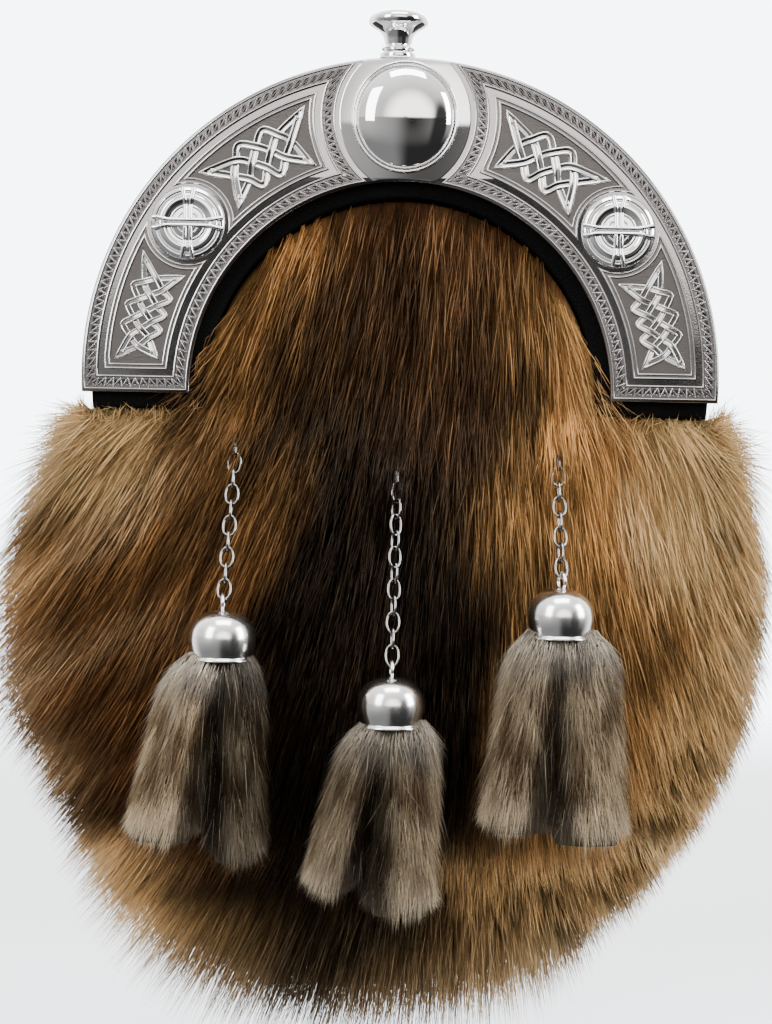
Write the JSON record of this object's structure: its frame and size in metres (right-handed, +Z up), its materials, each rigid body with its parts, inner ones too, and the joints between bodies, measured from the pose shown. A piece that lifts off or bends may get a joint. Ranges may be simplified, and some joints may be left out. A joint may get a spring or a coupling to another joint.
{
  "type": "sporran pouch",
  "caption": "Rounded fur pouch with a hollow leather body, under a polished arched metal cantle with interlace panels, domed centre and knob; fur tassels hang from fine chains.",
  "frame": {"origin": "middle of the gap in the loop on the back, where the waist strap carries the sporran", "axes": "+Z up as it is worn, -Y out of the front, +X to the right as seen from the front"},
  "size_m": [0.186, 0.0747, 0.2359],
  "materials": {
    "cast_metal": "cast and plated, matte pebbled fields under polished raised interlace and borders",
    "polished_metal": "mirror polished",
    "chain_metal": "polished wire",
    "black_leather": "smooth black leather with a fine grain",
    "pelt": "glossy brown fur, dark down the middle and pale at the sides",
    "tassel_fur": "soft grey-brown fur"
  },
  "bodies": {
    "root": {"cantle": "cast_metal", "centre_dome": "polished_metal", "boss_left": "polished_metal", "boss_right": "polished_metal", "finial_knob": "polished_metal", "leather_arch": "black_leather", "pouch_shell": "black_leather", "back_panel": "black_leather", "belt_loop": "black_leather", "fur_coat": "pelt", "chain_post_left": "chain_metal", "chain_post_middle": "chain_metal", "chain_post_right": "chain_metal", "link_left_01": "chain_metal", "link_left_02": "chain_metal", "link_left_03": "chain_metal", "link_left_04": "chain_metal", "link_left_05": "chain_metal", "link_left_06": "chain_metal", "link_left_07": "chain_metal", "link_left_08": "chain_metal", "link_left_09": "chain_metal", "link_middle_01": "chain_metal", "link_middle_02": "chain_metal", "link_middle_03": "chain_metal", "link_middle_04": "chain_metal", "link_middle_05": "chain_metal", "link_middle_06": "chain_metal", "link_middle_07": "chain_metal", "link_middle_08": "chain_metal", "link_middle_09": "chain_metal", "link_middle_10": "chain_metal", "link_middle_11": "chain_metal", "link_right_01": "chain_metal", "link_right_02": "chain_metal", "link_right_03": "chain_metal", "link_right_04": "chain_metal", "link_right_05": "chain_metal", "link_right_06": "chain_metal", "link_right_07": "chain_metal", "bell_cap_left": "polished_metal", "bell_cap_middle": "polished_metal", "bell_cap_right": "polished_metal", "tassel_left": "tassel_fur", "tassel_middle": "tassel_fur", "tassel_right": "tassel_fur"}
  },
  "joints": []
}
